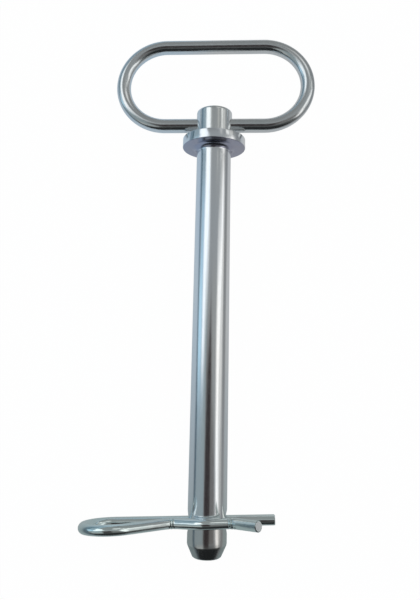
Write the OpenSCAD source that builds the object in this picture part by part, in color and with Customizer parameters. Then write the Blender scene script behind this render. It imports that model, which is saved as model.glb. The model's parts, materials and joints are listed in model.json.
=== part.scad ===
// Hitch pin in three pieces: a turned steel pin with a collar and a boss, a wire handle that swivels in
// the boss, and a spring hairpin clip through the tip. It lies at rest on a level surface, touching it
// with the collar's rim, the edge of the tip's cone and the clip's loop. The handle lies in line.
//
// Each piece is drawn in the pin's own frame: the axis along Y with the handle at +Y, both cross-holes
// along X, and the middle of the collar's underside at the origin. at_rest() then lays it down.

/* [Shank] */
// Diameter of the shank
shank_d = 19; // [16:0.5:25]
// Length from the collar's underside to the end of the tip
shank_len = 206.1; // [150:0.1:260]
// Length of the cone at the tip
tip_cone_len = 5.6; // [3:0.1:8]
// Radius that the cone takes off
tip_cone_drop = 2.7; // [1:0.1:4]
// Width of the broken edge round the tip's flat end
tip_edge = 0.4; // [0.2:0.1:1.5]
// Fillet between the shank and the collar
neck_fillet = 3; // [0.5:0.25:4]

/* [Collar] */
// Diameter of the collar
collar_d = 35; // [30:0.5:45]
// Thickness of the collar
collar_t = 5.5; // [3:0.5:9]
// Width of the broken edge round both of the collar's rims
collar_edge = 0.4; // [0.2:0.1:1.2]

/* [Boss] */
// Diameter of the boss that holds the handle
boss_d = 20; // [17:0.5:26]
// Height of the boss above the collar
boss_h = 17; // [16:0.5:24]
// Rounding of the boss's top edge
boss_edge = 1.6; // [0.5:0.1:3]
// Height of the handle's hole above the collar
handle_hole_h = 8.5; // [7:0.25:10]

/* [Handle] */
// Diameter of the handle's wire
handle_wire_d = 8; // [6:0.25:9]
// Length of each straight side, between the bends
handle_straight = 56.5; // [40:0.5:80]
// Radius of the round ends, at the middle of the wire
handle_bend_r = 25; // [22:0.5:35]
// Radial clearance of the wire in its hole
handle_clearance = 0.08; // [0.02:0.01:0.1]
// Gap between the wire's two ends inside the boss
handle_end_gap = 2; // [0.5:0.25:4]
// Width of the broken edge at each wire end
wire_edge = 0.4; // [0.1:0.1:0.8]

/* [Hairpin clip] */
// Diameter of the clip's wire
clip_wire_d = 4.75; // [4:0.25:6]
// Radial clearance of the straight arm in its hole
clip_clearance = 0.75; // [0.45:0.05:1]
// Distance of the clip's hole from the end of the tip
clip_hole_from_tip = 15.4; // [12:0.1:25]
// Width of the countersink around each mouth of the hole
clip_mouth = 2.2; // [0.5:0.1:3]
// How far the straight arm stands out past the shank
arm_reach = 23; // [16:0.5:35]
// Distance of the loop's centre from the shank's side
loop_reach = 34; // [28:0.5:50]
// Radius of the loop, at the middle of the wire
loop_r = 13; // [9:0.25:16]
// Distance of the first crimp from the shank's side, towards the loop
crimp_in = 7.1; // [6:0.1:9]
// Gap between the first crimp and the straight arm
crimp_in_gap = 1.3; // [0.3:0.1:2]
// Distance of the second crimp from the shank's side, towards the free end
crimp_out = 2.8; // [2.5:0.1:6]
// Gap between the second crimp and the straight arm
crimp_out_gap = 4.7; // [2:0.1:5]
// Radius of both crimps, at the middle of the wire
crimp_r = 4.2; // [3.5:0.1:4.6]
// Length of the flared end past the second crimp
flare_len = 17; // [10:0.5:25]
// Angle between the flared end and the straight arm
flare_angle = 45; // [25:1:60]
// Gap between the outer arm's hump and the shank
hump_gap = 0.05; // [0.02:0.01:0.3]
// Lean of the outer arm towards the handle
clip_lean = 5.5; // [0:0.5:10]
// Skew of the straight arm in its hole, loop towards the tip
clip_skew = 2.6; // [0:0.1:3]

/* [Hidden] */
$fn = 64;

shank_r = shank_d / 2;
collar_r = collar_d / 2;
boss_r = boss_d / 2;
boss_top = collar_t + boss_h;
tip_end_r = shank_r - tip_cone_drop;
cone_start = shank_len - tip_cone_len;

// Radius that a seam adds to the wire, and half of its length
seam = 0.01;
handle_wire_r = handle_wire_d / 2;
handle_axis_y = collar_t + handle_hole_h;

clip_wire_r = clip_wire_d / 2;
clip_hole_r = clip_wire_r + clip_clearance;
clip_y = clip_hole_from_tip - shank_len;
mouth_angle = 59; // half of a drill point's angle
mouth_depth = clip_mouth / tan(mouth_angle);

// The clip is drawn flat: x runs along the straight arm and y out towards the outer arm.
loop_centre = [-shank_r - loop_reach, loop_r];
crimp_a = [-shank_r - crimp_in, clip_wire_d + crimp_in_gap];
crimp_b = [shank_r + crimp_out, clip_wire_d + crimp_out_gap];
// The hump's plane leans, so its radius is longer than the way straight out from the shank's axis.
hump_r = (shank_r + hump_gap + clip_wire_r) / cos(clip_lean);
// Lengths of the tangents from the crimps' corners to the loop and to the hump
loop_to_crimp = tangent_length(crimp_a - loop_centre, loop_r);
crimp_to_hump = tangent_length(crimp_a, hump_r);
hump_to_crimp = tangent_length(crimp_b, hump_r);
// Headings of the straight stretches, as the wire leaves the loop, climbs to the hump and comes off it
down = fine(bearing(crimp_a - loop_centre) + acos(loop_r / norm(crimp_a - loop_centre)) - 90);
rise = fine(bearing(crimp_a) - acos(hump_r / norm(crimp_a)) - 90);
fall = fine(bearing(crimp_b) + acos(hump_r / norm(crimp_b)) - 90);
// The turns that the wire makes, and what each crimp's bend takes off the stretches beside it
loop_turn = 180 - down;
crimp_a_turn = rise - down;
hump_turn = rise - fall;
crimp_b_turn = flare_angle - fall;
crimp_a_cut = crimp_r * tan(crimp_a_turn / 2);
crimp_b_cut = crimp_r * tan(crimp_b_turn / 2);

// The pin tips from its collar to its tip, and rolls until the loop touches what the collar lies on.
incline = atan((collar_r - shank_r) / (cone_start + collar_edge));
// Depth below the origin of the surface that the pin lies on
surface_depth = collar_r * cos(incline) - collar_edge * sin(incline);
roll = settle(0, 30, 40);

function bearing(v) = atan2(v[1], v[0]);
function tangent_length(v, r) = sqrt(v * v - r * r);
// An angle to a hundredth of a degree, so that the stretches of wire meet face to face
function fine(angle) = round(angle * 100) / 100;
// Directions of the straight arm and of the outer arm's side, in the pin's frame
function arm_dir() = [cos(clip_skew), sin(clip_skew), 0];
function side_dir() = [-sin(clip_skew) * sin(clip_lean), cos(clip_skew) * sin(clip_lean), cos(clip_lean)];
function up_dir(r) = [cos(incline) * sin(r), sin(incline), cos(incline) * cos(r)];
// Height of the loop's lowest point above the surface, with the pin rolled by r
function loop_height(r) = let (
    up = up_dir(r),
    centre = [0, clip_y, 0] + loop_centre[0] * arm_dir() + loop_centre[1] * side_dir(),
    reach = norm([up * arm_dir(), up * side_dir()])
) centre * up - loop_r * reach - clip_wire_r + surface_depth;
function settle(low, high, steps) = let (mid = (low + high) / 2)
    steps == 0 ? mid : loop_height(mid) > 0 ? settle(mid, high, steps - 1) : settle(low, mid, steps - 1);

// Lays a piece down from the pin's frame.
module at_rest() {
    rotate([incline, 0, 0]) rotate([0, -roll, 0]) children();
}

// Wire is drawn the way it is formed. Each stretch starts at the origin, runs along +X and turns in the
// XY plane, and what follows it is placed at its far end, over a hairline seam that laps both.
module straight(long, r) {
    rotate([0, 90, 0]) cylinder(h = long, r = r);
    translate([long, 0, 0]) next(r) children();
}

// A bend to the left by an angle, or to the right by a negative one
module bend(bend_r, angle, r) {
    side = angle < 0 ? -1 : 1;
    translate([0, side * bend_r, 0]) {
        rotate_extrude(angle = abs(angle), start = angle < 0 ? 90 + angle : -90)
            translate([bend_r, 0]) circle(r = r);
        rotate([0, 0, angle]) translate([0, -side * bend_r, 0]) next(r) children();
    }
}

module next(r) {
    rotate([0, 90, 0]) cylinder(h = 2 * seam, r = r + seam, center = true);
    children();
}

// A last stretch, cut off with a broken edge
module cut_end(long, r) {
    rotate([0, 90, 0]) {
        cylinder(h = long - wire_edge, r = r);
        translate([0, 0, long - wire_edge]) cylinder(h = wire_edge, r1 = r, r2 = r - wire_edge);
    }
}

// Half of the pin's section: x is the radius and y the place along the axis.
module pin_section() {
    translate([0, -cone_start]) square([shank_r, cone_start + collar_t / 2]);
    polygon([
        [0, -shank_len], [tip_end_r - tip_edge, -shank_len],
        [tip_end_r + tip_edge * tip_cone_drop / tip_cone_len, tip_edge - shank_len],
        [shank_r, -cone_start], [0, -cone_start]
    ]);
    polygon([
        [0, 0], [collar_r - collar_edge, 0], [collar_r, collar_edge],
        [collar_r, collar_t - collar_edge], [collar_r - collar_edge, collar_t], [0, collar_t]
    ]);
    translate([0, collar_t / 2]) square([boss_r, boss_h + collar_t / 2 - boss_edge]);
    square([boss_r - boss_edge, boss_top]);
    translate([boss_r - boss_edge, boss_top - boss_edge]) circle(r = boss_edge);
    difference() {
        translate([0, -neck_fillet]) square([shank_r + neck_fillet, neck_fillet + collar_t / 2]);
        translate([shank_r + neck_fillet, -neck_fillet]) circle(r = neck_fillet);
    }
}

// The hole for the clip, with a shallow countersink at both mouths
module clip_hole() {
    translate([0, clip_y, 0]) rotate([0, 90, 0]) {
        cylinder(h = shank_d + 2, r = clip_hole_r, center = true);
        for (side = [0, 180]) rotate([side, 0, 0]) translate([0, 0, shank_r - mouth_depth])
            cylinder(h = 2 * mouth_depth, r1 = clip_hole_r, r2 = clip_hole_r + 2 * clip_mouth);
    }
}

module handle_hole() {
    translate([0, handle_axis_y, 0]) rotate([0, 90, 0])
        cylinder(h = boss_d + 2, r = handle_wire_r + handle_clearance, center = true);
}

module pin() {
    color("silver") at_rest() difference() {
        rotate([-90, 0, 0]) rotate_extrude() pin_section();
        clip_hole();
        handle_hole();
    }
}

// One wire bent into a ring, with its two ends sprung into the boss from both sides
module handle() {
    half_gap = handle_end_gap / 2;
    half_side = handle_straight / 2;
    color("lightsteelblue") at_rest() translate([0, handle_axis_y, 0]) {
        translate([half_side, 0, 0]) {
            rotate([0, 0, 180]) cut_end(half_side - half_gap, handle_wire_r);
            bend(handle_bend_r, 180, handle_wire_r)
                straight(handle_straight, handle_wire_r)
                bend(handle_bend_r, 180, handle_wire_r)
                cut_end(half_side - half_gap, handle_wire_r);
        }
    }
}

// One spring wire: the straight arm, the loop, and the outer arm with its crimps either side of the hump
module hairpin_clip() {
    color("cadetblue") at_rest() translate([0, clip_y, 0])
        rotate([0, 0, clip_skew]) rotate([90 - clip_lean, 0, 0]) translate([loop_centre[0], 0, 0]) {
            cut_end(shank_r + arm_reach - loop_centre[0], clip_wire_r);
            rotate([0, 0, 180]) bend(loop_r, -loop_turn, clip_wire_r)
                straight(loop_to_crimp - crimp_a_cut, clip_wire_r)
                bend(crimp_r, crimp_a_turn, clip_wire_r)
                straight(crimp_to_hump - crimp_a_cut, clip_wire_r)
                bend(hump_r, -hump_turn, clip_wire_r)
                straight(hump_to_crimp - crimp_b_cut, clip_wire_r)
                bend(crimp_r, crimp_b_turn, clip_wire_r)
                cut_end(flare_len - crimp_b_cut, clip_wire_r);
        }
}

pin();
handle();
hairpin_clip();
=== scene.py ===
"""Looks of a hitch pin: the turned, zinc-plated pin, its ring handle of bent wire and its hairpin clip.

The pin's own frame has the pin's axis along Y with the handle at +Y, both cross-holes along X, and the
middle of the collar's underside at the origin. Lengths are in millimetres until a mesh is made.
"""

import json
import logging
import math
from dataclasses import dataclass
from enum import Enum

import bpy
import numpy as np
from mathutils import Matrix, Vector


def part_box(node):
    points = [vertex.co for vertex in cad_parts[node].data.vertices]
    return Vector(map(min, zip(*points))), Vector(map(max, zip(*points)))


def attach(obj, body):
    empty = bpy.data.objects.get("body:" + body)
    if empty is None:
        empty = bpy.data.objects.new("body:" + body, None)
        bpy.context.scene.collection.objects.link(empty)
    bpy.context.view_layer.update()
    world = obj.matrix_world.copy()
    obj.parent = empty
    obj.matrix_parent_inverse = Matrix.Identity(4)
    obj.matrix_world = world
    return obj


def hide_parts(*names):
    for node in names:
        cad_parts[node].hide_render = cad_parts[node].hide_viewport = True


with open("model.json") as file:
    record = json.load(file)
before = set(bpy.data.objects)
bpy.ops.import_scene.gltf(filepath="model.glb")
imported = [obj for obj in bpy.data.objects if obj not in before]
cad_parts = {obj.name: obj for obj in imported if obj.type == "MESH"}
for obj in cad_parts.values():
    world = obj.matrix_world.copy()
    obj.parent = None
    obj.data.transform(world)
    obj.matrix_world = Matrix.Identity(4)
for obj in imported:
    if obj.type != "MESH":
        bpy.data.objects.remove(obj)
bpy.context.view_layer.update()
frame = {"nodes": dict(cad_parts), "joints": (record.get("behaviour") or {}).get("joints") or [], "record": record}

LOG = logging.getLogger("hitch_pin")
MM = 0.001

Piece = bpy.types.Object
Socket = bpy.types.NodeSocket
Number = float | Socket
Colour = tuple[float, float, float]


class Spin(Enum):
    """Which way a wire turns in its own plane."""

    LEFT = 1
    RIGHT = -1


# ---------------------------------------------------------------- frames


def rest_frame() -> Matrix:
    """Gives the turn from the pin's own frame to the row's frame, as the pin lies at rest.

    Returns:
        A 4x4 matrix whose columns are the pin's X, Y and Z: X is the swivel's axis, and the collar's face
        looks along -Y.
    """
    swivel = next(j for j in frame["joints"] if j["name"] == "handle_swivel")
    face = next(m for m in frame["record"]["mounts"] if m["name"] == "collar_face")
    along_x = Vector(swivel["axis"]).normalized()
    along_y = -Vector(face["axis"]).normalized()
    along_z = along_x.cross(along_y)
    return Matrix((along_x, along_y, along_z)).transposed().to_4x4()


REST = rest_frame()


def to_row(points: np.ndarray) -> np.ndarray:
    """Turns points in the pin's frame, in millimetres, into the row's frame, in metres.

    Args:
        points: An N x 3 array.

    Returns:
        The N x 3 array in the row's frame.
    """
    return points @ np.array(REST.to_3x3()).T * MM


# ---------------------------------------------------------------- meshes


def grid_faces(rows: int, columns: int) -> np.ndarray:
    """Numbers the quads of a grid whose columns close on themselves.

    Args:
        rows: How many rings of points the grid has.
        columns: How many points are in each ring.

    Returns:
        An M x 4 array of vertex numbers, row by row.
    """
    first = np.arange(rows - 1)[:, None] * columns
    then = first + columns
    here = np.arange(columns)[None, :]
    beside = (here + 1) % columns
    quads = np.stack([first + here, first + beside, then + beside, then + here], axis=-1)
    return quads.reshape(-1, 4)


def make_piece(name: str, rings: np.ndarray) -> Piece:
    """Makes a closed piece from rings of points, with a flat face over the first ring and the last.

    Args:
        name: The piece's name.
        rings: A rows x columns x 3 array, in the pin's frame and in millimetres.

    Returns:
        The new object, linked to the scene and the right way out, with its place in its mesh.
    """
    rows, columns = rings.shape[:2]
    last = (rows - 1) * columns
    faces = [tuple(quad) for quad in grid_faces(rows, columns)]
    faces.append(tuple(range(columns))[::-1])
    faces.append(tuple(range(last, last + columns)))
    mesh = bpy.data.meshes.new(name)
    mesh.from_pydata(to_row(rings.reshape(-1, 3)), [], faces)
    mesh.validate()
    mesh.update()
    piece = bpy.data.objects.new(name, mesh)
    bpy.context.scene.collection.objects.link(piece)
    outward(piece)
    return piece


def outward(piece: Piece) -> None:
    """Turns a closed mesh the right way out, going by the sign of its volume."""
    mesh = piece.data
    mesh.calc_loop_triangles()
    spots = np.empty(len(mesh.vertices) * 3)
    mesh.vertices.foreach_get("co", spots)
    corners = np.empty(len(mesh.loop_triangles) * 3, int)
    mesh.loop_triangles.foreach_get("vertices", corners)
    a, b, c = spots.reshape(-1, 3)[corners.reshape(-1, 3)].transpose(1, 0, 2)
    if np.einsum("ij,ij->i", a, np.cross(b, c)).sum() < 0:
        mesh.flip_normals()


def smooth(piece: Piece, crease_deg: float) -> None:
    """Shades a piece smooth, with an edge kept sharp where its faces meet at more than an angle."""
    piece.data.shade_smooth()
    piece.data.set_sharp_from_angle(angle=math.radians(crease_deg))


def arc(centre: tuple[float, float], radius: float, start: float, stop: float, steps: int) -> np.ndarray:
    """Gives points on a circle's arc.

    Args:
        centre: The circle's middle.
        radius: Its radius.
        start: The first point's angle, in degrees.
        stop: The last point's angle.
        steps: How many pieces the arc has.

    Returns:
        A (steps + 1) x 2 array of centre + radius (cos, sin).
    """
    turn = np.radians(np.linspace(start, stop, steps + 1))
    return np.array(centre) + radius * np.stack([np.cos(turn), np.sin(turn)], axis=-1)


def wall(radius: float, start: float, stop: float, count: int) -> np.ndarray:
    """Gives points on a stretch of a profile that keeps its radius.

    Args:
        radius: The stretch's radius.
        start: The first point's place along Y.
        stop: The last point's place.
        count: How many points there are.

    Returns:
        A count x 2 array of (radius, place along Y).
    """
    return np.column_stack([np.full(count, radius), np.linspace(start, stop, count)])


def turned(profile: np.ndarray, around: int) -> np.ndarray:
    """Revolves a profile of (radius, place along Y) about the Y axis.

    Args:
        profile: An N x 2 array.
        around: How many points each ring has.

    Returns:
        An N x around x 3 array: (r sin t, y, r cos t) for t once round.
    """
    turn = np.linspace(0, 2 * math.pi, around, endpoint=False)
    radius, along = profile[:, :1], profile[:, 1:]
    level = np.broadcast_to(along, (len(profile), around))
    return np.stack([radius * np.sin(turn), level, radius * np.cos(turn)], axis=-1)


class WirePath:
    """A wire's middle line, led in its own XY plane stretch by stretch from the origin along +X."""

    def __init__(self, step: float) -> None:
        """Starts at the origin, with points about a step apart."""
        self.step = step
        self.heading = 0.0
        self.places = [np.zeros((1, 2))]
        self.headings = [np.zeros(1)]
        self.marks: dict[str, float] = {}

    @property
    def end(self) -> np.ndarray:
        """Where the line has got to."""
        return self.places[-1][-1]

    @property
    def length(self) -> float:
        """How long the line is so far."""
        line = np.concatenate(self.places)
        return float(np.linalg.norm(np.diff(line, axis=0), axis=1).sum())

    def straight(self, long: float) -> "WirePath":
        """Goes straight on for a length: p + d t."""
        count = max(1, round(long / self.step))
        way = np.array([math.cos(self.heading), math.sin(self.heading)])
        along = np.linspace(0, long, count + 1)[1:, None]
        self.places.append(self.end + way * along)
        self.headings.append(np.full(count, self.heading))
        return self

    def bend(self, radius: float, angle_deg: float, spin: Spin) -> "WirePath":
        """Turns by an angle at a radius: the centre is beside the line, and the point goes round it."""
        angle = math.radians(angle_deg)
        count = max(6, round(radius * angle / self.step))
        side = spin.value
        centre = self.end + side * radius * np.array([-math.sin(self.heading), math.cos(self.heading)])
        turn = self.heading + side * np.linspace(0, angle, count + 1)[1:]
        self.places.append(centre + side * radius * np.stack([np.sin(turn), -np.cos(turn)], axis=-1))
        self.headings.append(turn)
        self.heading = float(turn[-1])
        return self

    def mark(self, name: str) -> "WirePath":
        """Remembers how far along the line it is here, by name."""
        self.marks[name] = self.length
        return self

    def line(self) -> tuple[np.ndarray, np.ndarray, np.ndarray]:
        """Gives the points, their headings and how far along each is."""
        places, headings = np.concatenate(self.places), np.concatenate(self.headings)
        far = np.concatenate([[0], np.cumsum(np.linalg.norm(np.diff(places, axis=0), axis=1))])
        return places, headings, far


def swept(path: WirePath, radius: np.ndarray, around: int) -> np.ndarray:
    """Carries a round section along a flat line.

    Args:
        path: The line, in its own XY plane.
        radius: The section's radius, one for each point, or one for each point and place round it.
        around: How many points each ring has.

    Returns:
        A rows x around x 3 array: p + r (n cos t + z sin t), where n is the line's left.
    """
    places, headings, _ = path.line()
    turn = np.linspace(0, 2 * math.pi, around, endpoint=False)
    left = np.stack([-np.sin(headings), np.cos(headings), np.zeros_like(headings)], axis=-1)
    rise = np.array([0.0, 0.0, 1.0])
    middle = np.column_stack([places, np.zeros(len(places))])[:, None, :]
    reach = np.broadcast_to(radius.reshape(len(places), -1), (len(places), around))[..., None]
    return middle + reach * (left[:, None, :] * np.cos(turn)[:, None] + rise * np.sin(turn)[:, None])


def end_rings(rings: np.ndarray, broken: float, radius: float) -> np.ndarray:
    """Breaks the edge at both ends of a swept wire: the end rings shrink over a short way.

    Args:
        rings: The rows x around x 3 array.
        broken: How much the edge takes off the radius, and off the length.
        radius: The wire's radius.

    Returns:
        The array with three rings in place of the one at each end, shrinking towards it.
    """
    inset, shaved = 0.3, 0.7  # the middle ring's share of the broken edge, along the wire and across it
    shares = np.array([1.0, inset, 0.0])
    drops = np.array([1.0, 1.0 - shaved * broken / radius, 1.0 - broken / radius])
    pieces = []
    for first, second, flip in ((rings[0], rings[1], False), (rings[-1], rings[-2], True)):
        middle = first.mean(axis=0)
        inward = second.mean(axis=0) - middle
        inward /= np.linalg.norm(inward)
        steps = zip(shares, drops)
        stack = [middle + drop * (first - middle) + share * broken * inward for share, drop in steps]
        pieces.append(stack if flip else stack[::-1])
    return np.concatenate([pieces[0], rings[1:-1], pieces[1]])


def mark_cut(piece: Piece, rows: int, columns: int) -> None:
    """Marks the two end faces of a swept wire in a layer named cut: 1 on their rings and 0 elsewhere."""
    share = np.zeros(rows * columns, np.float32)
    share[:columns] = 1.0
    share[-columns:] = 1.0
    layer = piece.data.attributes.new("cut", "FLOAT", "POINT")
    layer.data.foreach_set("value", share)


# ---------------------------------------------------------------- finishes


class Sheet:
    """A node tree being laid out, with short ways to add nodes and join them."""

    def __init__(self, tree: bpy.types.NodeTree) -> None:
        """Takes over a tree and empties it."""
        self.tree = tree
        tree.nodes.clear()

    def add(self, kind: str, **settings: object) -> bpy.types.Node:
        """Adds a node and sets its own settings."""
        node = self.tree.nodes.new(kind)
        for key, value in settings.items():
            setattr(node, key, value)
        return node

    def join(self, source: Socket, target: Socket) -> None:
        """Joins an output to an input."""
        self.tree.links.new(source, target)

    def feed(self, socket: Socket, value: object) -> None:
        """Gives an input a value, or another node's output."""
        if isinstance(value, Socket):
            self.join(value, socket)
        else:
            socket.default_value = value

    def sum(self, operation: str, first: Number, second: Number = 0.0) -> Socket:
        """Works out one sum of two numbers or outputs."""
        node = self.add("ShaderNodeMath", operation=operation)
        self.feed(node.inputs[0], first)
        self.feed(node.inputs[1], second)
        return node.outputs[0]

    def step(self, value: Number, low: Number, high: Number) -> Socket:
        """Rises smoothly from 0 at low to 1 at high."""
        node = self.add("ShaderNodeMapRange", interpolation_type="SMOOTHSTEP")
        self.feed(node.inputs["Value"], value)
        self.feed(node.inputs["From Min"], low)
        self.feed(node.inputs["From Max"], high)
        return node.outputs["Result"]

    def ramp(self, value: Number, first: tuple[float, float], last: tuple[float, float]) -> Socket:
        """Goes straight from one (value, result) to the other, and stays level outside them."""
        node = self.add("ShaderNodeMapRange")
        self.feed(node.inputs["Value"], value)
        for name, number in zip(("From Min", "To Min", "From Max", "To Max"), (*first, *last)):
            node.inputs[name].default_value = number
        return node.outputs["Result"]

    def span(self, value: Number, low: Number, high: Number, soft: float) -> Socket:
        """Is 1 between low and high and 0 outside, with soft edges."""
        rise = self.step(self.sum("SUBTRACT", value, low), -soft / 2, soft / 2)
        fall = self.step(self.sum("SUBTRACT", high, value), -soft / 2, soft / 2)
        return self.sum("MULTIPLY", rise, fall)

    def mix(self, share: Number, first: object, second: object, way: str = "MIX") -> Socket:
        """Mixes two colours, or lays the second over the first in another way."""
        node = self.add("ShaderNodeMix", data_type="RGBA", blend_type=way)
        for name, value in (("Factor_Float", share), ("A_Color", first), ("B_Color", second)):
            socket = next(s for s in node.inputs if s.identifier == name)
            self.feed(socket, (*value, 1.0) if isinstance(value, tuple) else value)
        return next(s for s in node.outputs if s.identifier == "Result_Color")

    def blend(self, share: Socket, first: Socket, second: Socket) -> Socket:
        """Mixes two shaders."""
        node = self.add("ShaderNodeMixShader")
        for source, socket in zip((share, first, second), node.inputs):
            self.join(source, socket)
        return node.outputs[0]

    def noise(self, where: Socket, scale: float, detail: float = 2.0) -> Socket:
        """Gives a cloudy pattern between 0 and 1."""
        node = self.add("ShaderNodeTexNoise")
        self.join(where, node.inputs["Vector"])
        node.inputs["Scale"].default_value = scale
        node.inputs["Detail"].default_value = detail
        return node.outputs["Fac"]

    def relief(self, height: Socket, strength: Number, depth: float, under: Socket | None = None) -> Socket:
        """Raises a pattern on the surface, over the relief that is already there."""
        node = self.add("ShaderNodeBump")
        self.feed(node.inputs["Strength"], strength)
        node.inputs["Distance"].default_value = depth
        self.join(height, node.inputs["Height"])
        if under is not None:
            self.join(under, node.inputs["Normal"])
        return node.outputs["Normal"]

    def pin_place(self, stretch: tuple[float, float, float] = (1.0, 1.0, 1.0)) -> Socket:
        """Gives the place in the pin's own frame, in metres, stretched along each axis."""
        spot = self.add("ShaderNodeTexCoord").outputs["Object"]
        turn = self.add("ShaderNodeMapping")
        turn.inputs["Rotation"].default_value = REST.inverted().to_euler()
        self.join(spot, turn.inputs["Vector"])
        scaled = self.add("ShaderNodeMapping")
        scaled.inputs["Scale"].default_value = stretch
        self.join(turn.outputs["Vector"], scaled.inputs["Vector"])
        return scaled.outputs["Vector"]

    def along_pin(self) -> Socket:
        """Gives how far towards the handle a place is, in metres."""
        node = self.add("ShaderNodeSeparateXYZ")
        self.join(self.pin_place(), node.inputs[0])
        return node.outputs["Y"]


@dataclass(frozen=True)
class SatinAndShade:
    """A stretch of the pin, along Y and in metres, that the lathe left with a satiny finish; under the collar, one
    also carries painted shade.

    Attributes:
        span: Where it starts and stops.
        gloss: What it adds to the roughness.
        tint: What it multiplies the plate's colour by; under the collar this is painted shade, darker and bluer.
        groove: How deep its turning marks look, from 0 to 1.
    """

    span: tuple[float, float]
    gloss: float
    tint: Colour
    groove: float


@dataclass
class Coat:
    """What the shader is given, while one layer is laid on another.

    Attributes:
        colour: The colour so far.
        rough: The roughness so far.
        normal: The relief so far.
    """

    colour: Socket
    rough: Socket
    normal: Socket


@dataclass(frozen=True)
class ZincPlate:
    """Bright, clear-passivated zinc on steel: a mirror with a faint haze and a bluish cast.

    Attributes:
        name: The material's name.
        tint: The plate's colour.
        cast: The colour that it drifts towards in patches.
        gloss: Roughness of the smooth places.
        haze: Roughness of the dull places.
        stretch: How the patches are stretched along X, Y and Z of the pin's frame.
        ripple: How deep the slow waves left by drawing and bending the wire are, in metres.
        satin_and_shade: The stretches that the lathe left satiny, one of them also carrying painted shade under
            the collar.
        cut_ends: Whether the mesh carries a "cut" layer for faces that a shear left bare.
    """

    name: str
    tint: Colour
    cast: Colour
    gloss: float
    haze: float
    stretch: tuple[float, float, float]
    ripple: float = 0.0
    satin_and_shade: tuple[SatinAndShade, ...] = ()
    cut_ends: bool = False

    # Scales are in waves for each metre, and depths and widths in metres. A range is where a pattern's
    # height starts to count, and where it counts in full.
    PATCH_SCALE = 90.0
    PATCH_RANGE = (0.35, 0.7)
    GRAIN_SCALE = 1400.0
    GRAIN_DETAIL = 3.0
    GRAIN_RANGE = (0.3, 0.8)
    GRAIN_STRENGTH = 0.05
    GRAIN_DEPTH = 0.00005
    RIPPLE_SCALE = 260.0
    RIPPLE_STRENGTH = 1.0
    GROOVE_SCALE = 2600.0
    GROOVE_STRETCH = (0.02, 1.0, 0.02)
    GROOVE_DEPTH = 0.00006
    RIDGE_BASE = 0.88
    RIDGE_GAIN = 0.24
    SATIN_AND_SHADE_SOFT = 0.0006
    CUT_COLOUR = (0.93, 0.95, 0.95)
    CUT_ROUGHNESS = 0.6

    def plated(self, sheet: Sheet) -> Coat:
        """Lays the plate: patches of two tints, a fine grain of gloss and haze, and the wire's waves."""
        place = sheet.pin_place(self.stretch)
        patches = sheet.step(sheet.noise(place, self.PATCH_SCALE), *self.PATCH_RANGE)
        grain = sheet.noise(place, self.GRAIN_SCALE, self.GRAIN_DETAIL)
        dull = sheet.step(grain, *self.GRAIN_RANGE)
        coat = Coat(
            colour=sheet.mix(patches, self.tint, self.cast),
            rough=sheet.sum("ADD", self.gloss, sheet.sum("MULTIPLY", dull, self.haze - self.gloss)),
            normal=sheet.relief(grain, self.GRAIN_STRENGTH, self.GRAIN_DEPTH),
        )
        if self.ripple:
            waves = sheet.noise(place, self.RIPPLE_SCALE)
            coat.normal = sheet.relief(waves, self.RIPPLE_STRENGTH, self.ripple, coat.normal)
        return coat

    def add_turning_and_shade(self, sheet: Sheet, coat: Coat) -> None:
        """Lays the lathe's marks and each stretch's tint over the plate; under the collar the tint is painted
        shade.
        """
        along = sheet.along_pin()
        grooves = sheet.noise(sheet.pin_place(self.GROOVE_STRETCH), self.GROOVE_SCALE)
        steepened = sheet.sum("ADD", self.RIDGE_BASE, sheet.sum("MULTIPLY", grooves, self.RIDGE_GAIN))
        ridges = sheet.sum("MULTIPLY", grooves, steepened)
        for satin_and_shade in self.satin_and_shade:
            here = sheet.span(along, *satin_and_shade.span, self.SATIN_AND_SHADE_SOFT)
            coat.rough = sheet.sum("ADD", coat.rough, sheet.sum("MULTIPLY", here, satin_and_shade.gloss))
            # each stretch's tint multiplies the colour; on the neck and the collar's underside it is painted shade
            coat.colour = sheet.mix(here, coat.colour, satin_and_shade.tint, "MULTIPLY")
            strength = sheet.sum("MULTIPLY", here, satin_and_shade.groove)
            coat.normal = sheet.relief(ridges, strength, self.GROOVE_DEPTH, coat.normal)

    def bare_ends(self, sheet: Sheet, coat: Coat) -> None:
        """Makes the faces that a shear left bare paler and rougher."""
        bare = sheet.add("ShaderNodeAttribute", attribute_name="cut").outputs["Fac"]
        coat.colour = sheet.mix(bare, coat.colour, self.CUT_COLOUR)
        missing = sheet.sum("SUBTRACT", self.CUT_ROUGHNESS, coat.rough)
        coat.rough = sheet.sum("ADD", coat.rough, sheet.sum("MULTIPLY", bare, missing))

    def material(self) -> bpy.types.Material:
        """Builds the material."""
        plate = bpy.data.materials.new(self.name)
        plate.use_nodes = True
        sheet = Sheet(plate.node_tree)
        output = sheet.add("ShaderNodeOutputMaterial")
        shader = sheet.add("ShaderNodeBsdfPrincipled")
        sheet.join(shader.outputs["BSDF"], output.inputs["Surface"])
        shader.inputs["Metallic"].default_value = 1.0
        coat = self.plated(sheet)
        if self.satin_and_shade:
            self.add_turning_and_shade(sheet, coat)
        if self.cut_ends:
            self.bare_ends(sheet, coat)
        sheet.join(coat.colour, shader.inputs["Base Color"])
        sheet.join(coat.rough, shader.inputs["Roughness"])
        sheet.join(coat.normal, shader.inputs["Normal"])
        return plate


# ---------------------------------------------------------------- the turned pin


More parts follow.
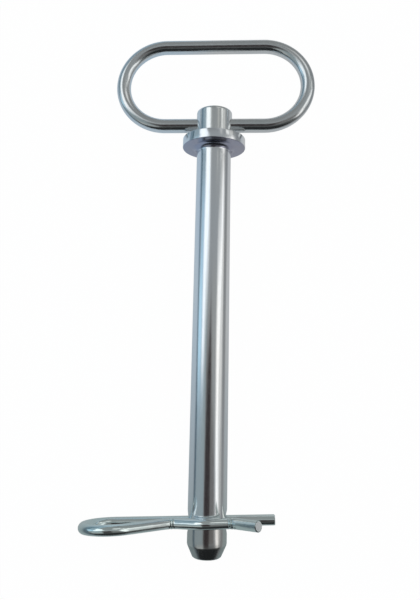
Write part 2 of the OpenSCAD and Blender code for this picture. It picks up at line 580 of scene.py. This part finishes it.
@dataclass
class TurnedPin:
    """The shank with its coned tip, the collar, and the boss that holds the handle. Lengths in millimetres.

    Attributes:
        cone_edge: How far to either side of the cone's start its corner is broken.
        boss_root: Radius of the small fillet at the boss's foot.
        guard: How far from the tip's edge, and from the collar's top, the outline's next point lies.
        overrun: How far the handle's drill reaches out of the boss.
    """

    shank_r: float = 9.5
    shank_len: float = 206.1
    cone_len: float = 5.6
    cone_drop: float = 2.7
    cone_edge: float = 0.4
    tip_edge: float = 0.4
    neck_fillet: float = 3.0
    collar_r: float = 17.5
    collar_t: float = 5.5
    collar_edge: float = 0.4
    boss_r: float = 10.0
    boss_h: float = 17.0
    boss_edge: float = 1.6
    boss_root: float = 0.3
    handle_hole_h: float = 8.5
    handle_hole_r: float = 4.08
    clip_hole_from_tip: float = 15.4
    clip_hole_r: float = 3.125
    clip_mouth: float = 2.2
    drill_angle: float = 59.0
    overrun: float = 2.0
    guard: float = 1.0
    around: int = 288
    drill_around: int = 96
    shank_rings: int = 60
    boss_rings: int = 20

    def profile(self) -> np.ndarray:
        """Gives the turned outline, (radius, place along Y), from the tip's end face to the boss's top."""
        end_r = self.shank_r - self.cone_drop
        cone_y = self.cone_len - self.shank_len
        top_y = self.collar_t + self.boss_h
        slope = self.cone_drop / self.cone_len
        neck, rim, root, cap = self.neck_fillet, self.collar_edge, self.boss_root, self.boss_edge
        stretches = [
            [(end_r - self.tip_edge - self.guard, -self.shank_len)],
            [(end_r - self.tip_edge, -self.shank_len)],
            [(end_r + self.tip_edge * slope, self.tip_edge - self.shank_len)],
            [(self.shank_r - self.cone_edge * slope, cone_y - self.cone_edge)],
            wall(self.shank_r, cone_y + self.cone_edge, -neck, self.shank_rings),
            arc((self.shank_r + neck, -neck), neck, 180, 90, steps=12)[1:],
            arc((self.collar_r - rim, rim), rim, -90, 0, steps=6),
            arc((self.collar_r - rim, self.collar_t - rim), rim, 0, 90, steps=6),
            arc((self.boss_r + root, self.collar_t + root), root, -90, -180, steps=4),
            wall(self.boss_r, self.collar_t + self.guard, top_y - cap, self.boss_rings),
            arc((self.boss_r - cap, top_y - cap), cap, 0, 90, steps=10)[1:],
        ]
        return np.concatenate([np.asarray(stretch, float) for stretch in stretches])

    def cutter(self, name: str, along: float, outline: list[tuple[float, float]]) -> Piece:
        """Makes a drill's shape along X.

        Args:
            name: The cutter's name.
            along: Its place on the pin's axis.
            outline: Its (radius, place along X), from one end to the other.

        Returns:
            A closed piece to take away from the pin.
        """
        rings = turned(np.array(outline), self.drill_around)
        return make_piece(name, np.stack([rings[..., 1], along + rings[..., 0], rings[..., 2]], axis=-1))

    def build(self) -> Piece:
        """Turns the pin, drills both cross-holes and countersinks the clip's."""
        piece = make_piece("turned_pin", turned(self.profile(), self.around))
        clip_y = self.clip_hole_from_tip - self.shank_len
        depth = self.clip_mouth / math.tan(math.radians(self.drill_angle))
        far = self.shank_r + depth
        wide = self.clip_hole_r + 2 * self.clip_mouth
        near = self.shank_r - depth
        drill = [(wide, -far), (self.clip_hole_r, -near), (self.clip_hole_r, near), (wide, far)]
        reach = self.boss_r + self.overrun
        bar = [(self.handle_hole_r, -reach), (self.handle_hole_r, reach)]
        cutters = [
            self.cutter("clip_drill", clip_y, drill),
            self.cutter("handle_drill", self.collar_t + self.handle_hole_h, bar),
        ]
        for tool in cutters:
            cut = piece.modifiers.new(tool.name, "BOOLEAN")
            cut.operation = "DIFFERENCE"
            cut.solver = "EXACT"
            cut.object = tool
        bpy.context.view_layer.update()
        graph = bpy.context.evaluated_depsgraph_get()
        cut_mesh = bpy.data.meshes.new_from_object(piece.evaluated_get(graph))
        piece.modifiers.clear()
        piece.data = cut_mesh
        for tool in cutters:
            bpy.data.objects.remove(tool)
        smooth(piece, crease_deg=24.0)
        return piece

    def dress(self, piece: Piece) -> None:
        """Plates the pin, and stands it in for the CAD node."""
        cone_y = (self.cone_len - self.shank_len) * MM
        shaded_neck_and_underside = (-0.0024, 0.0003)
        boss = (self.collar_t * MM + 0.0006, (self.collar_t + self.boss_h) * MM + 0.001)
        below_clip = (cone_y, (self.clip_hole_from_tip - self.shank_len) * MM)
        cone = (-1.0, cone_y)
        plate = ZincPlate(
            name="zinc_on_turned_steel",
            tint=(0.80, 0.83, 0.86),
            cast=(0.84, 0.84, 0.83),
            gloss=0.13,
            haze=0.19,
            stretch=(1.0, 0.12, 1.0),
            satin_and_shade=(
                # painted shade: the neck fillet and the collar's underside are darkened and tinted blue, with a
                # satin gloss and grooves
                SatinAndShade(shaded_neck_and_underside, gloss=0.04, tint=(0.46, 0.46, 0.55), groove=0.1),
                SatinAndShade(boss, gloss=0.03, tint=(0.98, 0.98, 0.96), groove=0.15),
                SatinAndShade(below_clip, gloss=0.02, tint=(0.83, 0.80, 0.77), groove=0.15),
                SatinAndShade(cone, gloss=0.05, tint=(0.60, 0.60, 0.58), groove=0.30),
            ),
        )
        piece.data.materials.clear()
        piece.data.materials.append(plate.material())
        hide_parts("pin")
        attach(piece, "pin")


# ---------------------------------------------------------------- the ring handle


@dataclass
class RingHandle:
    """One wire bent into a ring, its two ends sprung into the boss. Lengths in millimetres."""

    wire_r: float = 4.0
    straight: float = 56.5
    bend_r: float = 25.0
    end_gap: float = 2.0
    wire_edge: float = 0.4
    axis_y: float = 14.0
    around: int = 64
    step: float = 0.8

    def build(self) -> Piece:
        """Leads the wire out of the boss, round both bends and back."""
        stub = (self.straight - self.end_gap) / 2
        path = WirePath(self.step).straight(stub)
        path.bend(self.bend_r, 180, Spin.LEFT).straight(self.straight)
        path.bend(self.bend_r, 180, Spin.LEFT).straight(stub)
        places, _, _ = path.line()
        rings = swept(path, np.full(len(places), self.wire_r), self.around)
        rings = end_rings(rings, self.wire_edge, self.wire_r)
        piece = make_piece("ring_handle", rings + np.array([self.end_gap / 2, self.axis_y, 0.0]))
        smooth(piece, crease_deg=30.0)
        return piece

    def dress(self, piece: Piece) -> None:
        """Plates the ring, and stands it in for the CAD node."""
        plate = ZincPlate(
            name="zinc_on_drawn_wire",
            tint=(0.71, 0.74, 0.75),
            cast=(0.76, 0.76, 0.75),
            gloss=0.15,
            haze=0.24,
            stretch=(0.3, 0.3, 1.0),
        )
        piece.data.materials.append(plate.material())
        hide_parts("handle")
        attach(piece, "handle")


# ---------------------------------------------------------------- the hairpin clip


@dataclass
class HairpinClip:
    """One spring wire: the straight arm, the loop, and the outer arm with its crimps, hump and flare.

    Lengths are in millimetres. Crimps are placed by how far out of the shank they are, towards the loop and
    towards the free end, and by their gap from the straight arm.
    """

    wire_r: float = 2.375
    shank_r: float = 9.5
    hole_y: float = -190.7
    arm_reach: float = 23.0
    loop_reach: float = 34.0
    loop_r: float = 13.0
    crimp_in: float = 7.1
    crimp_in_gap: float = 1.3
    crimp_out: float = 2.8
    crimp_out_gap: float = 4.7
    crimp_r: float = 4.2
    flare_len: float = 17.0
    flare_deg: float = 45.0
    hump_gap: float = 0.05
    lean_deg: float = 5.5
    skew_deg: float = 2.6
    wire_edge: float = 0.4
    nick_depth: float = 0.42
    nick_width: float = 0.42
    nick_apart: float = 1.9
    nick_round: float = 0.6
    around: int = 56
    step: float = 0.35

    def path(self) -> WirePath:
        """Leads the wire from the straight arm's end round the loop and over the hump to the flared end."""
        centre = np.array([-self.shank_r - self.loop_reach, self.loop_r])
        crimp_a = np.array([-self.shank_r - self.crimp_in, 2 * self.wire_r + self.crimp_in_gap])
        crimp_b = np.array([self.shank_r + self.crimp_out, 2 * self.wire_r + self.crimp_out_gap])
        hump_r = (self.shank_r + self.hump_gap + self.wire_r) / math.cos(math.radians(self.lean_deg))

        def bearing(v: np.ndarray) -> float:
            """Gives a way's angle from +X, in degrees."""
            return math.degrees(math.atan2(v[1], v[0]))

        def tangent(v: np.ndarray, r: float) -> tuple[float, float]:
            """Gives the length of the tangent from a point to a circle, and its angle at the middle."""
            far = float(np.linalg.norm(v))
            return math.sqrt(far * far - r * r), math.degrees(math.acos(r / far))

        loop_to_crimp, loop_open = tangent(crimp_a - centre, self.loop_r)
        crimp_to_hump, rise_open = tangent(crimp_a, hump_r)
        hump_to_crimp, fall_open = tangent(crimp_b, hump_r)
        down = bearing(crimp_a - centre) + loop_open - 90
        rise = bearing(crimp_a) - rise_open - 90
        fall = bearing(crimp_b) + fall_open - 90
        cut_a = self.crimp_r * math.tan(math.radians(rise - down) / 2)
        cut_b = self.crimp_r * math.tan(math.radians(self.flare_deg - fall) / 2)

        path = WirePath(self.step)
        path.heading = math.pi
        path.straight(self.shank_r + self.arm_reach - centre[0])
        path.bend(self.loop_r, 180 - down, Spin.RIGHT)
        path.straight(loop_to_crimp - cut_a)
        path.mark("crimp_a_start").bend(self.crimp_r, rise - down, Spin.LEFT).mark("crimp_a_end")
        path.straight(crimp_to_hump - cut_a)
        path.bend(hump_r, rise - fall, Spin.RIGHT)
        path.straight(hump_to_crimp - cut_b)
        path.mark("crimp_b_start").bend(self.crimp_r, self.flare_deg - fall, Spin.LEFT).mark("crimp_b_end")
        path.straight(self.flare_len - cut_b)
        return path

    def nicks(self, path: WirePath, turn: np.ndarray) -> np.ndarray:
        """Gives how deep the bending tool has marked the wire at both crimps, on the inside of the bend.

        Each crimp has two marks side by side. A mark is a narrow dent across the wire between two raised
        lips, (1 - u^2) exp(-u^2 / 2), and it fades out round the wire.

        Args:
            path: The wire's middle line, with its crimps marked.
            turn: The angles of the section's points.

        Returns:
            What to take off the radius, for each point of the line and each angle.
        """
        _, _, far = path.line()
        side = np.clip(np.cos(turn), 0, 1) ** self.nick_round
        depth = np.zeros((len(far), len(turn)))
        for crimp in ("crimp_a", "crimp_b"):
            middle = (path.marks[crimp + "_start"] + path.marks[crimp + "_end"]) / 2
            for shift in (-0.5, 0.5):
                off = (far - middle - shift * self.nick_apart) / self.nick_width
                bell = (1 - off**2) * np.exp(-(off**2) / 2)
                depth += self.nick_depth * bell[:, None] * side
        return depth

    def build(self) -> Piece:
        """Sweeps the wire, marks its crimps and sets it leaning and skewed in its hole."""
        path = self.path()
        turn = np.linspace(0, 2 * math.pi, self.around, endpoint=False)
        rings = swept(path, self.wire_r - self.nicks(path, turn), self.around)
        rings = end_rings(rings, self.wire_edge, self.wire_r)
        rings = rings + np.array([self.shank_r + self.arm_reach, 0.0, 0.0])
        lean = Matrix.Rotation(math.radians(90 - self.lean_deg), 3, "X")
        skew = Matrix.Rotation(math.radians(self.skew_deg), 3, "Z")
        rows, columns = rings.shape[:2]
        points = rings.reshape(-1, 3) @ np.array(skew @ lean).T + np.array([0.0, self.hole_y, 0.0])
        piece = make_piece("hairpin", points.reshape(rows, columns, 3))
        mark_cut(piece, rows, columns)
        smooth(piece, crease_deg=30.0)
        return piece

    def dress(self, piece: Piece) -> None:
        """Plates the clip, and stands it in for the CAD node."""
        plate = ZincPlate(
            name="zinc_on_spring_wire",
            tint=(0.77, 0.87, 0.85),
            cast=(0.85, 0.89, 0.88),
            gloss=0.07,
            haze=0.14,
            stretch=(0.3, 1.0, 0.5),
            ripple=0.00016,
            cut_ends=True,
        )
        piece.data.materials.append(plate.material())
        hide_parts("hairpin_clip")
        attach(piece, "hairpin_clip")


# ---------------------------------------------------------------- studio and camera


@dataclass(frozen=True)
class Edge:
    """One long side of a panel: its tilt at some places along, straight between them and level outside."""

    corners: tuple[tuple[float, float], ...]

    def drawn(self, sheet: Sheet, along: Socket) -> Number:
        """Gives the side's tilt, from the angle along."""
        tilt: Number = self.corners[0][1]
        for (here, this), (there, that) in zip(self.corners, self.corners[1:]):
            tilt = sheet.sum("ADD", tilt, sheet.ramp(along, (here, 0.0), (there, that - this)))
        return tilt


def plumb(tilt: float) -> Edge:
    """Gives a side that keeps its tilt all along."""
    return Edge(((0.0, tilt),))


def leaning(*corners: tuple[float, float]) -> Edge:
    """Gives a side with corners, each an angle along and a tilt."""
    return Edge(corners)


@dataclass(frozen=True)
class Panel:
    """One light or dark part of the studio, as the plate mirrors it.

    Angles are in degrees. Tilt is from straight up about the pin's axis, with the clip's loop on the minus
    side, and along is towards the handle.

    Attributes:
        low: The side with the smaller tilt.
        high: The side with the larger tilt.
        along: Where it starts and stops.
        soft: Width of the soft edge, across and along.
        colour: Its colour, with its brightness.
    """

    low: Edge
    high: Edge
    along: tuple[float, float]
    soft: tuple[float, float]
    colour: Colour

    def share(self, sheet: Sheet, tilt: Socket, along: Socket) -> Socket:
        """Gives how much of the panel is seen in a direction."""
        across = sheet.span(tilt, self.low.drawn(sheet, along), self.high.drawn(sheet, along), self.soft[0])
        return sheet.sum("MULTIPLY", across, sheet.span(along, *self.along, self.soft[1]))


@dataclass(frozen=True)
class Studio:
    """A grey room with a window on each side and a dark end wall, and white behind it for the camera."""

    room: Colour = (0.325, 0.345, 0.355)
    backdrop: Colour = (1.0, 1.0, 1.0)
    panels: tuple[Panel, ...] = (
        # the ceiling over the handle, and the left wall: grey at the tip's end, pale blue at the handle's,
        # with a bright strip near the floor and a darker part at its far end
        Panel(plumb(-60), plumb(80), (24, 95), (16, 8), (0.27, 0.285, 0.29)),
        Panel(plumb(-82), plumb(-28), (-95, 6), (10, 14), (0.29, 0.35, 0.37)),
        Panel(plumb(-84), leaning((-2, -44), (3, -54)), (-3, 95), (8, 9), (0.44, 0.62, 0.76)),
        Panel(plumb(-89), plumb(-68), (-1, 9), (5, 5), (0.54, 0.82, 1.00)),
        Panel(plumb(-82), plumb(-60), (17, 95), (8, 6), (0.28, 0.37, 0.43)),
        # the dark line where each wall meets the floor
        Panel(
            plumb(-104), leaning((-10, -84), (-3, -86), (1, -92), (12, -92), (19, -84)),
            (-95, 95), (6, 10), (0.07, 0.13, 0.17),
        ),
        Panel(plumb(79), plumb(96), (-95, 95), (8, 10), (0.25, 0.26, 0.27)),
        # the dimmer inner side of the left window, and the window, which narrows towards the tip
        Panel(
            plumb(-58), leaning((1, -41), (4, -36), (7, -27), (12, -22), (17, -24)),
            (-1, 20), (9, 4), (0.74, 0.78, 0.80),
        ),
        Panel(
            leaning((8, -62), (13, -61), (18, -54), (23, -60)),
            leaning((0, -48), (4, -47), (7, -43), (12, -31), (21, -28), (28, -34)),
            (-1, 36), (7, 4), (1.16, 1.22, 1.26),
        ),
        # the right window's dimmer sides and the window, then, beyond its corner, a pane, its dimmer side,
        # a paler strip nearer overhead, and one more pane over the handle
        Panel(plumb(52), plumb(76), (-60, 18), (8, 6), (0.44, 0.45, 0.45)),
        Panel(
            leaning((-16, 44), (-9, 34), (1, 27), (7, 29), (12, 30), (17, 50)),
            leaning((-16, 67), (-9, 60), (-4, 69), (12, 74)),
            (-31, 19), (7, 4), (0.74, 0.75, 0.75),
        ),
        Panel(
            leaning((-26, 50), (-16, 46), (-9, 36), (1, 33), (7, 35), (12, 54), (17, 58)),
            leaning((-26, 64), (-16, 62), (-9, 52), (-4, 48), (1, 52), (7, 58), (12, 66), (17, 67)),
            (-31, 19), (6, 4), (1.18, 1.18, 1.17),
        ),
        Panel(plumb(38), plumb(49), (20.5, 28), (4, 1.5), (1.12, 1.14, 1.12)),
        Panel(plumb(50), plumb(66), (20.5, 28), (5, 1.5), (0.60, 0.61, 0.60)),
        Panel(plumb(15), plumb(23), (18, 28), (5, 3), (0.52, 0.53, 0.52)),
        Panel(plumb(5), plumb(38), (30, 44), (10, 6), (0.85, 0.86, 0.86)),
        # the dark part overhead towards the tip, and the end wall with a paler part on the left
        Panel(
            plumb(-30), leaning((-16, 34), (-9, 27), (-4, 7), (0, 4)),
            (-24, 1), (8, 5), (0.17, 0.165, 0.162),
        ),
        Panel(plumb(-98), plumb(98), (-95, -27), (10, 10), (0.10, 0.105, 0.105)),
        Panel(plumb(-75), plumb(-28), (-48, -26), (8, 5), (0.42, 0.45, 0.45)),
        # the near black wedge overhead, and the end wall's black foot
        Panel(
            leaning((-12, -27), (-4, -24), (1, -14), (4, -10)),
            leaning((-12, 5), (-9, 2), (-4, 1), (1, -2), (4, -6)),
            (-30, 4), (9, 4), (0.042, 0.035, 0.036),
        ),
        Panel(plumb(-99), plumb(99), (-96, -43), (10, 8), (0.022, 0.024, 0.025)),
    )

    def build(self) -> None:
        """Lights the room: panels about the pin's axis, and plain white behind everything."""
        world = bpy.data.worlds.new("studio")
        bpy.context.scene.world = world
        world.use_nodes = True
        sheet = Sheet(world.node_tree)
        output = sheet.add("ShaderNodeOutputWorld")
        parts = sheet.add("ShaderNodeSeparateXYZ")
        sheet.join(sheet.add("ShaderNodeTexCoord").outputs["Generated"], parts.inputs[0])
        across = sheet.sum("ARCTAN2", parts.outputs["X"], parts.outputs["Z"])
        tilt = sheet.sum("MULTIPLY", across, math.degrees(1))
        along = sheet.sum("MULTIPLY", sheet.sum("ARCSINE", parts.outputs["Y"]), math.degrees(1))
        colour: object = self.room
        for panel in self.panels:
            colour = sheet.mix(panel.share(sheet, tilt, along), colour, panel.colour)
        room = sheet.add("ShaderNodeBackground")
        sheet.feed(room.inputs["Color"], colour)
        plain = sheet.add("ShaderNodeBackground")
        plain.inputs["Color"].default_value = (*self.backdrop, 1.0)
        seen = sheet.add("ShaderNodeLightPath").outputs["Is Camera Ray"]
        sheet.join(sheet.blend(seen, room.outputs[0], plain.outputs[0]), output.inputs["Surface"])


@dataclass(frozen=True)
class Floor:
    """The white floor under the part, with a glow of painted light and shade that bright metal mirrors of it.

    Places are in metres in the row's frame, from the first to the last of a gradual change.

    Attributes:
        size: Its width and length.
        paint: Its colour where light falls on it.
        white: How bright it looks to the camera.
        seen: How much of what the camera sees is that white. The rest is lit paint, with the shadows.
        mirrored: How much of what metal mirrors is the painted glow. The rest is lit paint.
        left: The tone on the loop's side of the part.
        right: The tone on the other side.
        tip: The tone towards the tip.
        foot: The tone past the tip.
        beyond: The tone past that.
        far_left: The tone far out on the left.
        far_left_tip: The tone far out on the left towards the tip.
        far_right: The tone far out on the right.
        right_from: Where left changes to right, along +X.
        tip_from: Where both change to tip, along -Y.
        foot_from: Where tip changes to foot, along -Y.
        beyond_from: Where foot changes to beyond, along -Y.
        far_from: Where the colours change to the far ones, along -X and along +X.
    """

    size: float = 6.0
    paint: Colour = (0.85, 0.86, 0.88)
    white: float = 1.03
    seen: float = 0.95
    mirrored: float = 0.7
    left: Colour = (0.57, 0.70, 0.82)
    right: Colour = (0.62, 0.64, 0.66)
    tip: Colour = (0.36, 0.41, 0.42)
    foot: Colour = (0.31, 0.38, 0.385)
    beyond: Colour = (0.02, 0.025, 0.03)
    far_left: Colour = (0.11, 0.22, 0.31)
    far_left_tip: Colour = (0.03, 0.07, 0.10)
    far_right: Colour = (0.25, 0.26, 0.27)
    right_from: tuple[float, float] = (-0.030, 0.005)
    tip_from: tuple[float, float] = (0.06, 0.22)
    foot_from: tuple[float, float] = (0.18, 0.21)
    beyond_from: tuple[float, float] = (0.24, 0.31)
    far_from: tuple[float, float] = (0.06, 0.17)

    def tone(self, sheet: Sheet) -> Socket:
        """Gives the painted light and shade that metal mirrors, from the place on the floor: bluer on the loop's
        side, greyer on the other, darker towards and past the tip.
        """
        spot = sheet.add("ShaderNodeSeparateXYZ")
        sheet.join(sheet.add("ShaderNodeTexCoord").outputs["Object"], spot.inputs[0])
        rightward = spot.outputs["X"]
        leftward = sheet.sum("MULTIPLY", rightward, -1.0)
        tipward = sheet.sum("MULTIPLY", spot.outputs["Y"], -1.0)
        at_tip = sheet.step(tipward, *self.tip_from)
        tone = sheet.mix(sheet.step(rightward, *self.right_from), self.left, self.right)
        tone = sheet.mix(at_tip, tone, self.tip)
        tone = sheet.mix(sheet.step(tipward, *self.foot_from), tone, self.foot)
        tone = sheet.mix(sheet.step(tipward, *self.beyond_from), tone, self.beyond)
        far_left = sheet.mix(at_tip, self.far_left, self.far_left_tip)
        tone = sheet.mix(sheet.step(leftward, *self.far_from), tone, far_left)
        return sheet.mix(sheet.step(rightward, *self.far_from), tone, self.far_right)

    def material(self) -> bpy.types.Material:
        """Builds the material: lit paint, with white to the camera and a glow of painted light and shade to metal.
        """
        paint = bpy.data.materials.new("pale_floor")
        paint.use_nodes = True
        sheet = Sheet(paint.node_tree)
        output = sheet.add("ShaderNodeOutputMaterial")
        lit = sheet.add("ShaderNodeBsdfDiffuse")
        lit.inputs["Color"].default_value = (*self.paint, 1.0)
        white = sheet.add("ShaderNodeEmission")
        white.inputs["Color"].default_value = (1.0, 1.0, 1.0, 1.0)
        white.inputs["Strength"].default_value = self.white
        # painted light and shade: a glow that is not a lamp, seen only in the metal's reflections
        painted_glow = sheet.add("ShaderNodeEmission")
        sheet.join(self.tone(sheet), painted_glow.inputs["Color"])
        rays = sheet.add("ShaderNodeLightPath")
        to_metal = sheet.sum("MULTIPLY", rays.outputs["Is Glossy Ray"], self.mirrored)
        to_camera = sheet.sum("MULTIPLY", rays.outputs["Is Camera Ray"], self.seen)
        off_camera = sheet.blend(to_metal, lit.outputs[0], painted_glow.outputs[0])
        sheet.join(sheet.blend(to_camera, off_camera, white.outputs[0]), output.inputs["Surface"])
        return paint

    def build(self) -> None:
        """Lays the floor under the part's lowest point."""
        lowest = min(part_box(node)[0].z for node in frame["nodes"])
        half = self.size / 2
        square = ((-half, -half), (half, -half), (half, half), (-half, half))
        mesh = bpy.data.meshes.new("floor")
        mesh.from_pydata([(x, y, lowest) for x, y in square], [], [(0, 1, 2, 3)])
        mesh.materials.append(self.material())
        plane = bpy.data.objects.new("floor", mesh)
        bpy.context.scene.collection.objects.link(plane)


@dataclass(frozen=True)
class Viewpoint:
    """The camera, given in the pin's frame turned about the pin's axis. Lengths in millimetres.

    Attributes:
        place: Where it stands.
        pitch_deg: How far from square to the pin's axis it looks, towards the handle.
        pan_deg: How far it looks to the right.
        roll_deg: How far it is turned about its own line of sight.
        left_of_square_deg: How far to the left of its frame's Z the pin's own Z lies.
        lens_mm: Its focal length.
        sensor_mm: Its sensor's longer side.
        image_height: The picture's height, in pixels.
        axis_row: The picture's row that the line of sight meets.
    """

    place: tuple[float, float, float] = (-2.4, -121.35, 307.53)
    pitch_deg: float = 14.584
    pan_deg: float = 0.177
    roll_deg: float = 1.113
    left_of_square_deg: float = 3.576
    lens_mm: float = 34.982
    sensor_mm: float = 36.0
    image_height: int = 600
    axis_row: int = 220

    def build(self) -> None:
        """Places the camera: it looks down on the pin, from a little to the loop's side of straight up."""
        pitch, pan, roll = (math.radians(a) for a in (self.pitch_deg, self.pan_deg, self.roll_deg))
        ahead = Vector((math.sin(pan) * math.cos(pitch), math.sin(pitch), -math.cos(pan) * math.cos(pitch)))
        level = ahead.cross(Vector((0, 1, 0))).normalized()
        upright = level.cross(ahead)
        right = math.cos(roll) * level + math.sin(roll) * upright
        up = math.cos(roll) * upright - math.sin(roll) * level
        turn = REST.to_3x3() @ Matrix.Rotation(math.radians(self.left_of_square_deg), 3, "Y")
        pose = Matrix((turn @ right, turn @ up, turn @ -ahead)).transposed().to_4x4()
        pose.translation = turn @ Vector(self.place) * MM
        data = bpy.data.cameras.new("viewpoint")
        data.lens = self.lens_mm
        data.sensor_width = self.sensor_mm
        data.shift_y = (self.axis_row - self.image_height / 2) / self.image_height
        data.clip_start = 0.01
        camera = bpy.data.objects.new("viewpoint", data)
        camera.matrix_world = pose
        bpy.context.scene.collection.objects.link(camera)
        bpy.context.scene.camera = camera


def main() -> None:
    """Builds the view, the studio, the floor and the three pieces, in that order."""
    bpy.context.scene.view_settings.view_transform = "Standard"
    Viewpoint().build()
    Studio().build()
    Floor().build()
    for part in (TurnedPin(), RingHandle(), HairpinClip()):
        piece = part.build()
        part.dress(piece)
        LOG.info("%s: %d faces", piece.name, len(piece.data.polygons))


if __name__ == "__main__":
    logging.basicConfig(level=logging.INFO)
    main()
